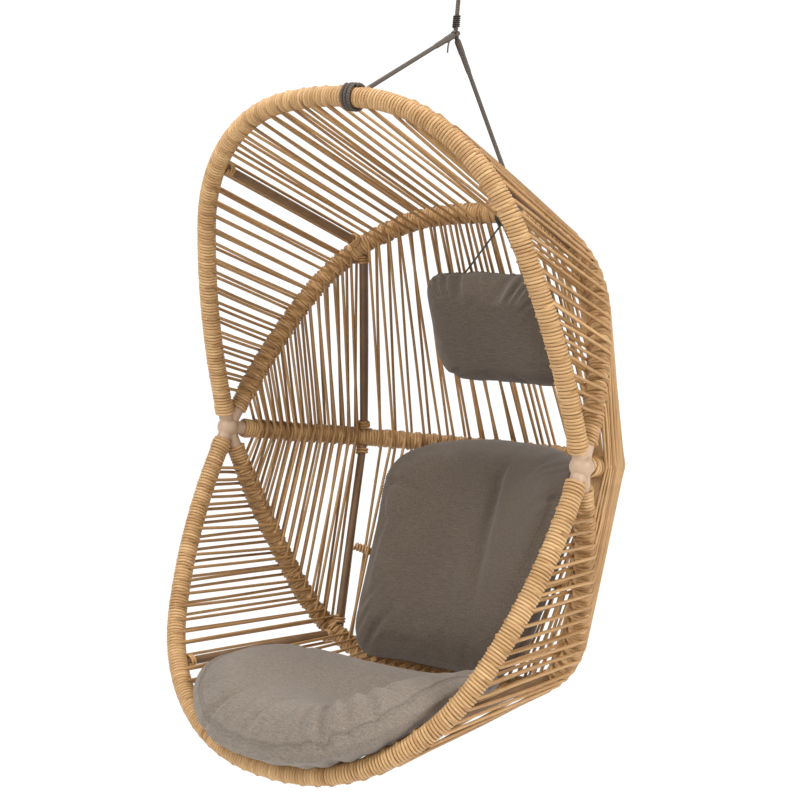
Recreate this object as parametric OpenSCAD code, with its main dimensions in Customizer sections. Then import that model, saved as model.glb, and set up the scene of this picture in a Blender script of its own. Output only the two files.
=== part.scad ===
// Hanging egg chair: a wicker shell on five fanned hoops, three cushions, and the ropes and
// swivel that hold it up.
// Millimetres, +Z up, the open mouth faces -Y. The origin is the centre of the ceiling eye.

/* [Frame] */
// Distance between the centres of the two side hubs
hub_span = 840; // [810:1:890]
// Length of each hub's straight stubs, from the hub's centre
stub_length = 45; // [40:0.5:55]
// Outer diameter of a hoop's bare tube
tube_d = 24; // [20:0.5:27]
// Wall of a hoop's bare tube
tube_wall = 1.2; // [1:0.1:2.5]
// Outer diameter of a hoop with its wicker wrapping
wrap_d = 36; // [32:0.5:37]
// Bare tube left showing between a hub's stub and the wrapping
bare_length = 6; // [3:0.5:15]
// Diameter of the hub's stubs
stub_d = 27; // [25:0.5:29]
// Diameter of the hub's ball
hub_d = 42; // [38:0.5:48]
// Diameter of a rib tube
rib_d = 16; // [12:0.5:20]
// Wall of a rib tube
rib_wall = 1.2; // [1:0.1:2.5]
// Diameter of the wrapped lumbar bar
lumbar_d = 18; // [14:0.5:22]
// How far down the lower back the lumbar bar sits, from waist to base
lumbar_place = 0.55; // [0.4:0.01:0.65]

/* [Upper mouth hoop] */
// Tilt from upright, forwards
upper_tilt = 23.5; // [21:0.1:26]
// Distance of the hoop's apex from the hubs' line
upper_reach = 653; // [635:1:670]
// Lean of the hoop's foot, outwards
upper_lean = -1.1; // [-2:0.1:0]
// Radius of the hoop's shoulders, as a share of half the distance between the hubs
upper_shoulder = 0.7595; // [0.73:0.0005:0.785]
// Radius of the hoop's top
upper_top = 688; // [660:1:720]
// Half angle of the hoop's top
upper_half = 8.4; // [7:0.1:10]
// Distance along the hoop from its apex to a rib
upper_rib = 332; // [320:1:345]

/* [Crown hoop] */
// Tilt from upright, backwards
crown_tilt = 24; // [22:0.1:26]
// Distance of the hoop's apex from the hubs' line
crown_reach = 499; // [485:1:510]
// Lean of the hoop's foot, outwards
crown_lean = -6.7; // [-8:0.1:-6]
// Radius of the hoop's shoulders, as a share of half the distance between the hubs
crown_shoulder = 0.7595; // [0.73:0.0005:0.775]
// Radius of the hoop's top
crown_top = 613; // [590:1:640]
// Half angle of the hoop's top
crown_half = 10.5; // [9:0.1:12]
// Distance along the hoop from its apex to a rib
crown_rib = 274; // [264:1:284]

/* [Waist hoop] */
// Tilt from upright, backwards
waist_tilt = 90; // [88:0.1:92]
// Distance of the hoop's apex from the hubs' line
waist_reach = 481; // [470:1:492]
// Lean of the hoop's foot, outwards
waist_lean = -14.2; // [-15.5:0.1:-13]
// Radius of the hoop's shoulders, as a share of half the distance between the hubs
waist_shoulder = 0.7262; // [0.7:0.0002:0.745]
// Radius of the hoop's top
waist_top = 322; // [315:1:335]
// Half angle of the hoop's top
waist_half = 20; // [15:0.5:25]
// Distance along the hoop from its apex to a rib
waist_rib = 381; // [370:1:390]

/* [Base hoop] */
// Tilt from upright, backwards
base_tilt = 152.5; // [150:0.1:155]
// Distance of the hoop's apex from the hubs' line
base_reach = 498; // [485:1:510]
// Lean of the hoop's foot, outwards
base_lean = -7.7; // [-9:0.1:-7]
// Radius of the hoop's shoulders, as a share of half the distance between the hubs
base_shoulder = 0.5286; // [0.5:0.0002:0.56]
// Radius of the hoop's top
base_top = 3400; // [3000:10:3900]
// Half angle of the hoop's top
base_half = 2.3; // [2:0.05:2.6]
// Distance along the hoop from its apex to a rib
base_rib = 275; // [265:1:285]

/* [Lower mouth hoop] */
// Tilt from upright, forwards
lower_tilt = 157; // [155:0.1:159]
// Distance of the hoop's apex from the hubs' line
lower_reach = 626; // [610:1:640]
// Lean of the hoop's foot, outwards
lower_lean = 0.5; // [-0.5:0.1:1]
// Radius of the hoop's shoulders, as a share of half the distance between the hubs
lower_shoulder = 0.85; // [0.81:0.001:0.87]
// Radius of the hoop's top
lower_top = 589; // [570:1:620]
// Half angle of the hoop's top
lower_half = 6.7; // [6:0.1:8]
// Distance along the hoop from its apex to a rib
lower_rib = 358; // [346:1:370]

/* [Wicker] */
// Diameter of a strand
strand_d = 6; // [4:0.5:7]
// Strands across one layer of a panel
strand_count = 28; // [20:1:34]
// Share of each half of a panel, next to the hub, that has no strands
strand_margin = 0.08; // [0.06:0.01:0.15]

/* [Cushions] */
// Thickness of the seat cushion at its crown
seat_thick = 108; // [80:1:115]
// Thickness of the seat cushion at its rear edge, as a share of that at its front
seat_rear_share = 0.53; // [0.4:0.01:0.7]
// Half width of the seat cushion, as a share of the lower hoops' half length
seat_half = 0.48; // [0.42:0.01:0.5]
// Share by which the seat cushion narrows from front to rear
seat_taper = 0.15; // [0:0.01:0.3]
// Rear edge of the seat cushion, as a share of the way from base to mouth
seat_rear = 0.2; // [0.2:0.01:0.28]
// Front edge of the seat cushion, as a share of the way from base to mouth
seat_front = 1.1; // [1:0.01:1.12]
// Thickness of the back cushion at its crown
back_thick = 105; // [80:1:110]
// Half width of the back cushion, as a share of the rear hoops' half length
back_half = 0.37; // [0.32:0.01:0.4]
// Top edge of the back cushion, as a share of the way from waist to base
back_top = 0; // [0:0.01:0.1]
// Bottom edge of the back cushion, as a share of the way from waist to base
back_bottom = 1.04; // [0.95:0.01:1.04]
// Distance of the back cushion's middle from the chair's middle, as a share of the half length
back_shift = 0.02; // [-0.02:0.01:0.02]
// Width of the head pillow
pillow_w = 330; // [300:1:350]
// Height of the head pillow
pillow_h = 230; // [200:1:240]
// Thickness of the head pillow at its crown
pillow_thick = 100; // [80:1:120]
// Distance of the head pillow's middle from the chair's middle, towards +X
pillow_x = 60; // [40:1:70]
// Distance down from the crown hoop to the pillow's middle
pillow_drop = 197.5; // [190:0.5:220]
// Radius that the pillow is bowed to
pillow_bow = 500; // [350:5:550]
// Room behind the pillow's middle, where its ends reach the strands
pillow_stand = 12; // [8:0.5:20]
// Diameter of the pillow's cord
pillow_cord_d = 3.5; // [3:0.5:4]

/* [Ropes] */
// Diameter of the rope
rope_d = 8; // [7:0.5:9]
// Diameter of the doubled rope beside the junction
splice_d = 12; // [11:0.5:14]
// Length of the doubled rope on the front leg
front_splice_length = 75; // [50:1:100]
// Length of the doubled rope on the rear leg
rear_splice_length = 68; // [50:1:100]
// Diameter of the cord that lashes the ropes to the hoops
lashing_d = 6.5; // [5:0.5:7]
// Turns of each lashing
lashing_turns = 3; // [2:1:5]
// Place of the front lashing, from the middle of the upper mouth hoop
front_lashing_x = 60; // [55:1:65]
// Place of the rear lashing, from the middle of the crown hoop
rear_lashing_x = 105; // [100:1:110]
// Diameter of the twine of the whippings
twine_d = 3; // [2.5:0.1:3.5]
// Turns of the whipping above the junction
whipping_turns = 6; // [4:1:7]
// Diameter of the knot where the three ropes meet
knot_d = 19; // [17:0.5:21]

/* [Swivel] */
// Radius of the ceiling eye's bore
eye_bore_r = 12; // [10:0.5:12]
// Thickness of the ceiling eye
eye_thick = 10; // [8:0.5:14]
// Wall round the ceiling eye's bore
eye_wall = 9; // [8:0.5:11]
// Radius of the swivel's housing
housing_r = 16; // [15:0.5:18]
// Height of the swivel's housing
housing_h = 32; // [30:0.5:36]
// Wall of the swivel's housing
housing_wall = 4; // [3:0.25:5]
// Radius of the swivel's shaft
shaft_r = 5; // [4:0.25:6]
// Radius of the pin in the jaw
jaw_pin_r = 4; // [3.5:0.25:4.5]
// Thickness of each ear of the jaw
ear_thick = 6; // [5:0.5:8]
// Width of the link's boss between the ears
boss_w = 10; // [8:0.5:12]
// Middle radius of the link's ring
ring_r = 13; // [13:0.5:15]
// Diameter of the link's bar
ring_bar = 8; // [7:0.25:8]
// Middle radius of the rope's eye
rope_eye_r = 18.5; // [18:0.5:20]

/* [Hidden] */

// Clearances
seat_gap = 0.3;
run_gap = 0.05;
saddle_gap = 0.8;
sleeve_gap = 0.1;

// Width of the ring that joins two arcs of a pipe, and how far it stands proud of the walls
joint_w = 5;
joint_step = 0.2;

// Smoothness of round solids, and of the tube along a winding
$fn = 64;
turn_steps = 16;
twine_sides = 6;

// Turns of the ties, and the room that each takes up along its hoop
lashing_pitch = lashing_d + 0.8;
twine_pitch = twine_d + 0.8;
tie_turns = 2;
tie_pitch = pillow_cord_d + 0.8;
tie_margin = 5;
lashing_half = lashing_turns * lashing_pitch / 2 + lashing_d / 2 + tie_margin;
tie_half = tie_turns * tie_pitch / 2 + pillow_cord_d / 2 + tie_margin;

// Chair's own frame: its origin is midway between the hubs, hung below the ceiling eye
hang_back = 82;
junction_z = -260;
hub_drop = 1036;

// Share of a hoop's half length at which every rib stands
rib_share = 0.4;

// One row a hoop: turn about X, reach, lean, shoulder share, top radius, half angle, rib place
UPPER = [upper_tilt, upper_reach, upper_lean, upper_shoulder, upper_top, upper_half, upper_rib];
CROWN = [-crown_tilt, crown_reach, crown_lean, crown_shoulder, crown_top, crown_half, crown_rib];
WAIST = [-waist_tilt, waist_reach, waist_lean, waist_shoulder, waist_top, waist_half, waist_rib];
BASE = [-base_tilt, base_reach, base_lean, base_shoulder, base_top, base_half, base_rib];
LOWER = [lower_tilt, lower_reach, lower_lean, lower_shoulder, lower_top, lower_half, lower_rib];

// ---- Vectors ----

function unit(v) = v / norm(v);
function blend(a, b, t) = (1 - t) * a + t * b;
function on_circle(centre, r, angle) = centre + r * [sin(angle), cos(angle)];

// ---- Hoops: straight stub, side arc, shoulder arc and top arc, each tangent to the next ----

function foot(h) = [hub_span / 2 + stub_length * sin(h[2]), stub_length * cos(h[2])];
function top_centre(h) = [0, h[1] - h[4]];
function shoulder_radius(h) = h[3] * hub_span / 2;
function shoulder_centre(h) = on_circle(top_centre(h), h[4] - shoulder_radius(h), h[5]);
function side_radius(h) = let (r = shoulder_radius(h), w = shoulder_centre(h) - foot(h),
    n = [-cos(h[2]), sin(h[2])])
    (w * w - r * r) / (2 * (w * n - r));
function side_centre(h) = foot(h) + side_radius(h) * [-cos(h[2]), sin(h[2])];
// Angle from the apex at which the shoulder arc meets the side arc
function side_angle(h) = let (d = shoulder_centre(h) - side_centre(h)) atan2(d[0], d[1]);
function arc_length(r, angle) = r * angle * PI / 180;
function top_length(h) = arc_length(h[4], h[5]);
function shoulder_length(h) = arc_length(shoulder_radius(h), side_angle(h) - h[5]);
function half_length(h) = top_length(h) + shoulder_length(h)
    + arc_length(side_radius(h), 90 + h[2] - side_angle(h));

// Point in the hoop's plane at a length s along it from its apex
function hoop_flat(h, s) = let (s2 = s - top_length(h), s3 = s2 - shoulder_length(h))
    s2 < 0 ? on_circle(top_centre(h), h[4], s / h[4] * 180 / PI)
    : s3 < 0 ? on_circle(shoulder_centre(h), shoulder_radius(h), h[5] + s2 / shoulder_radius(h) * 180 / PI)
    : on_circle(side_centre(h), side_radius(h), side_angle(h) + s3 / side_radius(h) * 180 / PI);
// Length from the apex for a share q of the half length, with the ribs at the same share
function share_length(h, q) = q < rib_share ? h[6] * q / rib_share
    : blend(h[6], half_length(h), (q - rib_share) / (1 - rib_share));
function lift(h, p) = [p[0], -sin(h[0]) * p[1], cos(h[0]) * p[1]];
// Point on a hoop at a signed share of its half length, and the hoop's direction there
function hoop_at(h, q) = let (p = hoop_flat(h, share_length(h, abs(q))))
    lift(h, [sign(q) * p[0], p[1]]);
function hoop_way(h, q) = unit(hoop_at(h, q + 0.002) - hoop_at(h, q - 0.002));

// ---- Panels: straight rulings from one hoop to the next, and the outward normal ----

function panel_at(a, b, q, t) = blend(hoop_at(a, q), hoop_at(b, q), t);
function panel_out(a, b, q, t) = let (way = blend(hoop_way(a, q), hoop_way(b, q), t))
    unit(cross(way, hoop_at(b, q) - hoop_at(a, q)));

// ---- Solids along a line ----

module rod(a, b, r) {
    d = b - a;
    translate(a)
        rotate([0, acos(d[2] / norm(d)), atan2(d[1], d[0])])
            cylinder(r = r, h = norm(d));
}

// A closed tube swept through points, each ring square to the path
module swept_tube(points, r, sides, up) {
    last = len(points) - 1;
    rings = [for (i = [0:last])
        let (way = unit(points[min(i + 1, last)] - points[max(i - 1, 0)]),
            u = unit(cross(way, up)),
            v = cross(u, way))
        for (k = [0:sides - 1])
            points[i] + r * (cos(360 * k / sides) * u + sin(360 * k / sides) * v)];
    walls = [for (i = [0:last - 1]) for (k = [0:sides - 1])
        let (a = i * sides + k, b = i * sides + (k + 1) % sides)
        each [[a, b, b + sides], [a, b + sides, a + sides]]];
    first_cap = [for (k = [1:sides - 2]) [0, k + 1, k]];
    last_cap = [for (k = [1:sides - 2]) [last * sides, last * sides + k, last * sides + k + 1]];
    polyhedron(rings, concat(walls, first_cap, last_cap));
}

// A straight cord with a ring about every 3 diameters
module straight_cord(a, b, d, sides, up) {
    steps = ceil(norm(b - a) / (3 * d));
    swept_tube([for (i = [0:steps]) blend(a, b, i / steps)], d / 2, sides, up);
}

// Turns of cord about the X axis; each end runs on straight for one diameter of the cord
function winding_points(r, d, pitch, turns) = let (
    last = turns * turn_steps,
    coil = [for (i = [0:last])
        let (angle = 360 * i / turn_steps)
        [pitch * (i / turn_steps - turns / 2), r * cos(angle), r * sin(angle)]])
    concat([coil[0] - [0, 0, d]], coil, [coil[last] + [0, 0, d]]);
// Least gap of a cord to itself, between points at least half a turn apart
function least_gap(points, d) = min([for (i = [0:len(points) - 1])
    for (j = [i + turn_steps / 2:1:len(points) - 1]) norm(points[i] - points[j])]) - d;
module winding(r, d, pitch, turns) {
    points = winding_points(r, d, pitch, turns);
    echo("Least gap of a winding to itself, in mm", least_gap(points, d));
    swept_tube(points, d / 2, twine_sides, [1, 0, 0]);
}

// ---- Frame ----

module hoop_frame(h) {
    rotate([90 + h[0], 0, 0])
        children();
}

// One arc of pipe; angles run from the hoop's apex towards +X
module pipe_arc(centre, r, from, to, outer_r, inner_r) {
    translate(centre)
        rotate([0, 0, 90 - to])
            rotate_extrude(angle = to - from, $fn = 180)
                translate([r, 0])
                    difference() {
                        circle(outer_r);
                        circle(inner_r);
                    }
}

// A short ring round a pipe at a length s from its apex, which joins two arcs
module pipe_joint(h, s, outer_r, inner_r) {
    p = hoop_flat(h, s);
    way = hoop_flat(h, s + 0.5) - hoop_flat(h, s - 0.5);
    translate(p)
        rotate([0, 0, atan2(way[1], way[0])])
            rotate([0, 90, 0])
                difference() {
                    cylinder(r = outer_r + joint_step, h = joint_w, center = true);
                    cylinder(r = inner_r - joint_step, h = joint_w + 1, center = true);
                }
}

// A hoop's pipe, whose ends stop short of its stubs by a trim
module hoop_pipe(h, outer_r, inner_r, trim) {
    angle_of = 180 / PI * joint_w / 4;
    hoop_frame(h) {
        pipe_arc(top_centre(h), h[4], -h[5] + angle_of / h[4], h[5] - angle_of / h[4],
            outer_r, inner_r);
        for (side = [0, 1])
            mirror([side, 0, 0]) {
                pipe_joint(h, top_length(h), outer_r, inner_r);
                pipe_arc(shoulder_centre(h), shoulder_radius(h), h[5] + angle_of / shoulder_radius(h),
                    side_angle(h) - angle_of / shoulder_radius(h), outer_r, inner_r);
                pipe_joint(h, top_length(h) + shoulder_length(h), outer_r, inner_r);
                pipe_arc(side_centre(h), side_radius(h), side_angle(h) + angle_of / side_radius(h),
                    90 + h[2] - trim / side_radius(h) * 180 / PI, outer_r, inner_r);
            }
    }
}
module hoop_tube(h) {
    color("#8c7562")
        hoop_pipe(h, tube_d / 2, tube_d / 2 - tube_wall, 0);
}
module hoop_wrap(h) {
    color("#c59a66")
        hoop_pipe(h, wrap_d / 2, tube_d / 2 + 2 * joint_step + sleeve_gap, bare_length);
}
module hub(side) {
    color("#8c7562")
        mirror([side > 0 ? 0 : 1, 0, 0]) {
            translate([hub_span / 2, 0, 0])
                sphere(d = hub_d);
            for (h = [UPPER, CROWN, WAIST, BASE, LOWER])
                rod(blend([hub_span / 2, 0, 0], lift(h, foot(h)), 0.2), lift(h, foot(h)), stub_d / 2);
        }
}

// A rib between two hoops, on each side, seated on their wrappings
module ribs(a, b) {
    reach = wrap_d / 2 + saddle_gap;
    color("#8c7562")
        for (side = [-1, 1])
            difference() {
                pa = hoop_at(a, side * rib_share);
                pb = hoop_at(b, side * rib_share);
                rod(pa, pb, rib_d / 2);
                rod(blend(pa, pb, -0.1), blend(pa, pb, 1.1), rib_d / 2 - rib_wall);
                for (h = [a, b]) {
                    p = hoop_at(h, side * rib_share);
                    way = hoop_way(h, side * rib_share);
                    rod(p - wrap_d * way, p + wrap_d * way, reach);
                }
            }
}

// The bar across the lower back, bent along the panel between its two ribs
module lumbar_bar() {
    end = rib_share - (rib_d / 2 + lumbar_d / 12) / half_length(WAIST);
    steps = 24;
    color("#b98d59")
        swept_tube([for (i = [0:steps]) panel_at(WAIST, BASE, end * (2 * i / steps - 1), lumbar_place)],
            lumbar_d / 2, 12, [0, 0, 1]);
}

// ---- Wicker ----

// Strands of one layer: side is 1 outside and -1 inside, and phase shifts them by shares of a step
module strands(a, b, side, phase) {
    off = side * (wrap_d / 2 + strand_d / 2 + seat_gap);
    step = 2 / strand_count;
    limit = 1 - strand_margin;
    color(side > 0 ? "#b98d59" : "#8a6a43")
        for (i = [0:strand_count]) {
            q = -1 + (i + phase) * step;
            pa = hoop_at(a, q);
            pb = hoop_at(b, q);
            if (abs(q) <= limit && clear_of_ties(a, pa) && clear_of_ties(b, pb))
                rod(pa + off * unit(cross(hoop_way(a, q), pb - pa)),
                    pb + off * unit(cross(hoop_way(b, q), pb - pa)), strand_d / 2);
        }
}
function clear_of(p, x, half) = abs(p[0] - x) > half + strand_d / 2;
function clear_of_ties(h, p) =
    h == UPPER ? clear_of(p, front_lashing_x, lashing_half)
    : h == CROWN ? clear_of(p, rear_lashing_x, lashing_half) && clear_of(p, pillow_x, tie_half)
    : true;

// ---- Cushions ----

// Rings from a cushion's middle to its seam, closer together near the seam
CUSHION_RINGS = [0.28, 0.52, 0.72, 0.86, 0.95, 1];
cushion_sectors = 40;
// How far a cushion's sides are drawn in
side_pull = 0.045;

// One row a cushion: height of the seam as a share of the thickness, squareness of the corners
// from 0 for square to 1 for round, and flatness of the underside
SEAT_FORM = [0.15, 0.8, 8];
BACK_FORM = [0.42, 0.42, 8];
PILLOW_FORM = [0.42, 0.4, 3];

// Rounded outline with drawn-in sides, as shares of the half sizes
function cushion_outline(angle, corner) = let (
    c = cos(angle), s = sin(angle),
    pull = 1 - side_pull * pow(cos(2 * angle), 2))
    pull * [sign(c) * pow(abs(c), corner), sign(s) * pow(abs(s), corner)];
// Height of the underside or the top at a share rho of the way from the middle to the seam
function cushion_height(form, rho, top) = top
    ? form[0] + (1 - form[0]) * sqrt(max(0, 1 - pow(rho, 3.2)))
    : form[0] * pow(rho, form[2]);

// A cushion from a list of its middle's and rings' points, first its underside and then its top
module cushion(under, over) {
    n = cushion_sectors;
    m = len(CUSHION_RINGS);
    points = concat(under, over);
    offset = len(under);
    top_seam = m - 1;
    // Index of a point in ring j of a side; the seam ring belongs to both sides
    function at(side, j, k) = 1 + j * n + k % n + (side == 1 && j < top_seam ? offset : 0);
    middle = [0, offset];
    fan = [for (side = [0, 1]) for (k = [0:n - 1])
        side == 0 ? [middle[0], at(0, 0, k + 1), at(0, 0, k)]
        : [middle[1], at(1, 0, k), at(1, 0, k + 1)]];
    walls = [for (side = [0, 1]) for (j = [0:m - 2]) for (k = [0:n - 1])
        let (a = at(side, j, k), b = at(side, j, k + 1),
            c = at(side, j + 1, k), d = at(side, j + 1, k + 1))
        each (side == 0 ? [[a, d, c], [a, b, d]] : [[a, c, d], [a, d, b]])];
    polyhedron(points, concat(fan, walls));
}

// Points of a cushion's side as [x, y, height] in shares: its middle, then its rings
function cushion_side(form, top) = concat([[0, 0, top ? 1 : 0]],
    [for (j = [0:len(CUSHION_RINGS) - (top ? 2 : 1)]) for (k = [0:cushion_sectors - 1])
        let (rho = CUSHION_RINGS[j], o = rho * cushion_outline(360 * k / cushion_sectors, form[1]))
        [o[0], o[1], cushion_height(form, rho, top)]]);

function on_panel(a, b, q, t, height) = panel_at(a, b, q, t) - height * panel_out(a, b, q, t);

// A cushion on the inside of a panel from t0 to t1, which narrows and thins from front to rear
module panel_pad(a, b, form, half, shift, t0, t1, thick, taper, rear_share) {
    base = wrap_d / 2 + strand_d + 2 * seat_gap;
    function place(p) = let (back = (1 - p[1]) / 2)
        on_panel(a, b, shift + half * p[0] * (1 - taper * back), t1 - (t1 - t0) * back,
            base + thick * p[2] * (1 - (1 - rear_share) * back));
    cushion([for (p = cushion_side(form, false)) place(p)],
        [for (p = cushion_side(form, true)) place(p)]);
}

// The pillow's own plane, along the upper back behind it
crown_apex = lift(CROWN, [0, crown_reach]);
waist_apex = lift(WAIST, [0, waist_reach]);
pillow_down = unit(waist_apex - crown_apex);
pillow_in = [0, pillow_down[2], -pillow_down[1]];
pillow_back = wrap_d / 2 + strand_d + seat_gap + pillow_stand;
// A point across, down and off the panel, bowed forwards at the pillow's ends
function pillow_point(x, down, height) = crown_apex + [pillow_x + x, 0, 0]
    + (pillow_drop + down) * pillow_down
    + (pillow_back + height + x * x / (2 * pillow_bow)) * pillow_in;
function pillow_points(top) = [for (p = cushion_side(PILLOW_FORM, top))
    pillow_point(pillow_w / 2 * p[0], pillow_h / 2 * p[1], pillow_thick * p[2])];

module seat_cushion() {
    color("#7d746b")
        panel_pad(BASE, LOWER, SEAT_FORM, seat_half, 0, seat_rear, seat_front, seat_thick,
            seat_taper, seat_rear_share);
}
module back_cushion() {
    color("#5d554d")
        panel_pad(WAIST, BASE, BACK_FORM, back_half, back_shift, back_top, back_bottom, back_thick,
            0, 1);
}
module head_pillow() {
    color("#5d554d")
        cushion(pillow_points(false), pillow_points(true));
}

// ---- Ties round the hoops ----

// Moves a winding along X onto the top arc of a hoop, at a distance from its middle
module on_hoop_top(h, x) {
    hoop_frame(h)
        translate(on_circle(top_centre(h), h[4], asin(x / h[4])))
            rotate([0, 0, -asin(x / h[4])])
                children();
}
module lashing(h, x) {
    color("#5e564e")
        on_hoop_top(h, x)
            winding(wrap_d / 2 + lashing_d / 2 + 2 * seat_gap, lashing_d, lashing_pitch, lashing_turns);
}
module pillow_tie() {
    color("#4c5148")
        on_hoop_top(CROWN, pillow_x)
            winding(wrap_d / 2 + pillow_cord_d / 2 + 2 * seat_gap, pillow_cord_d, tie_pitch, tie_turns);
}

// ---- Cord routes, in the frame of the ceiling eye ----

MAIN_ROUTE = [[0, 0, -138], [0, 0, -254]];
FRONT_ROUTE = [[1, -5, -262], [57, -321, -429]];
REAR_ROUTE = [[1, 2, -265], [98, 110, -568]];
TAIL_ROUTE = [[-3, -5, -265], [-5, -9, -273], [-6, -11, -283], [-6, -11, -296]];
// The pillow's cord on one side, from under its tie to the rear of the pillow's top corner, in the
// chair's own frame
pillow_corner_in = 13.6;
tie_reach = wrap_d / 2 + 1.5 * pillow_cord_d + 3 * seat_gap;
function pillow_route(side) = [
    crown_apex + [pillow_x + 3 * side, 0, 0] + tie_reach * (0.78 * pillow_down + 0.62 * pillow_in),
    pillow_point(0.22 * pillow_w * side, pillow_corner_in - pillow_h / 2, 0.312 * pillow_thick)];

rope_colour = "#5e564e";
module pillow_cord(route) {
    color("#4c5148")
        straight_cord(route[0], route[1], pillow_cord_d, 8, [0, 1, 0]);
}
module main_rope() {
    color(rope_colour)
        straight_cord(MAIN_ROUTE[0], MAIN_ROUTE[1], rope_d, 10, [1, 0, 0]);
}
module front_rope() {
    color(rope_colour)
        straight_cord(FRONT_ROUTE[0], FRONT_ROUTE[1], rope_d, 10, [1, 0, 0]);
}
module rear_rope() {
    color(rope_colour)
        straight_cord(REAR_ROUTE[0], REAR_ROUTE[1], rope_d, 10, [1, 0, 0]);
}
module rope_tail() {
    color(rope_colour)
        swept_tube(TAIL_ROUTE, twine_d / 2, 8, [1, 0, 0]);
}
module junction_knot() {
    color(rope_colour)
        translate([0, 0, junction_z])
            sphere(d = knot_d);
}
// The rope's own tail laid back along a leg, as a sleeve round it
module splice(route, length) {
    way = unit(route[1] - route[0]);
    start = route[0] + knot_d / 4 * way;
    color(rope_colour)
        difference() {
            rod(start, start + length * way, splice_d / 2);
            rod(start - way, start + (length + 1) * way, rope_d / 2 + sleeve_gap);
        }
}
module knot_whipping() {
    height = whipping_turns * twine_pitch;
    color("#463f39")
        translate([0, 0, junction_z + knot_d / 2 + twine_d + height / 2])
            rotate([0, 90, 0])
                winding(rope_d / 2 + twine_d / 2 + seat_gap, twine_d, twine_pitch, whipping_turns);
}

// ---- Swivel, link and rope eye ----

eye_r = eye_bore_r + eye_wall;
housing_top = -eye_bore_r - 5;
housing_bottom = housing_top - housing_h;
cavity_r = housing_r - housing_wall;
cap_flange = 3;
cap_depth = 6;
bearing_h = 4;
head_h = 6;
cap_top = housing_bottom + cap_depth;
head_bottom = cap_top + bearing_h + seat_gap;
jaw_top = housing_bottom - cap_flange - 2;
jaw_bridge = 7;
ear_r = jaw_pin_r + 4;
jaw_pin_z = jaw_top - jaw_bridge - ear_r - 1;
jaw_half = boss_w / 2 + seat_gap + ear_thick;
link_neck = 14;
ring_z = jaw_pin_z - link_neck - ring_r;
// The thimble rests inside the bottom of the link's ring
thimble_bar = 12;
thimble_r = rope_eye_r - 2.5;
thimble_z = ring_z - ring_r + ring_bar / 2 + seat_gap + thimble_bar / 2 - thimble_r;

module swivel_housing() {
    color("silver")
        difference() {
            union() {
                rotate([90, 0, 0])
                    cylinder(r = eye_r, h = eye_thick, center = true);
                translate([0, 0, housing_bottom])
                    cylinder(r = housing_r, h = housing_h);
            }
            rotate([90, 0, 0])
                cylinder(r = eye_bore_r, h = 2 * housing_r + eye_thick, center = true);
            translate([0, 0, housing_bottom - 1])
                cylinder(r = cavity_r, h = housing_h - housing_wall - 4 + 1);
        }
}
module swivel_cap() {
    color("silver")
        difference() {
            union() {
                translate([0, 0, housing_bottom - cap_flange])
                    cylinder(r = housing_r, h = cap_flange);
                translate([0, 0, housing_bottom])
                    cylinder(r = cavity_r - run_gap, h = cap_depth);
            }
            translate([0, 0, housing_bottom - cap_flange - 1])
                cylinder(r = shaft_r + run_gap, h = cap_flange + cap_depth + 2);
        }
}
module thrust_bearing() {
    color("goldenrod")
        translate([0, 0, cap_top])
            difference() {
                cylinder(r = cavity_r - 0.4, h = bearing_h);
                translate([0, 0, -1])
                    cylinder(r = shaft_r + 0.4, h = bearing_h + 2);
            }
}
module swivel_stem() {
    color("silver")
        difference() {
            union() {
                translate([0, 0, head_bottom])
                    cylinder(r = cavity_r - 2, h = head_h);
                translate([0, 0, jaw_top - 1])
                    cylinder(r = shaft_r, h = head_bottom - jaw_top + 2);
                translate([0, 0, jaw_top - jaw_bridge / 2])
                    cube([2 * jaw_half, 2 * ear_r, jaw_bridge], center = true);
                for (side = [-1, 1])
                    translate([side * (jaw_half - ear_thick / 2), 0, 0]) {
                        translate([0, 0, (jaw_top + jaw_pin_z) / 2])
                            cube([ear_thick, 2 * ear_r, jaw_top - jaw_pin_z], center = true);
                        translate([0, 0, jaw_pin_z])
                            rotate([0, 90, 0])
                                cylinder(r = ear_r, h = ear_thick, center = true);
                    }
            }
            translate([0, 0, jaw_pin_z])
                rotate([0, 90, 0])
                    cylinder(r = jaw_pin_r + run_gap, h = 2 * jaw_half + 2, center = true);
        }
}
pin_head_h = 4;
module jaw_pin() {
    color("gainsboro")
        translate([0, 0, jaw_pin_z])
            rotate([0, 90, 0]) {
                translate([0, 0, -jaw_half - 7])
                    cylinder(r = jaw_pin_r, h = 2 * jaw_half + 7);
                translate([0, 0, jaw_half])
                    cylinder(r = jaw_pin_r + 2.5, h = pin_head_h);
            }
}
module jaw_nut() {
    color("gainsboro")
        translate([-jaw_half, 0, jaw_pin_z])
            rotate([0, -90, 0])
                difference() {
                    cylinder(r = jaw_pin_r + 3.5, h = 6, $fn = 6);
                    translate([0, 0, -1])
                        cylinder(r = jaw_pin_r + run_gap, h = 8);
                }
}
module link_ring() {
    color("silver")
        difference() {
            union() {
                translate([0, 0, jaw_pin_z])
                    rotate([0, 90, 0])
                        cylinder(r = ear_r - 0.5, h = boss_w, center = true);
                translate([0, 0, jaw_pin_z - link_neck - 1])
                    cylinder(d = ring_bar, h = link_neck - jaw_pin_r - 1);
                translate([0, 0, ring_z])
                    rotate([90, 0, 0])
                        rotate_extrude()
                            translate([ring_r, 0])
                                circle(d = ring_bar);
            }
            translate([0, 0, jaw_pin_z])
                rotate([0, 90, 0])
                    cylinder(r = jaw_pin_r + run_gap, h = boss_w + 2, center = true);
        }
}
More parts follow.
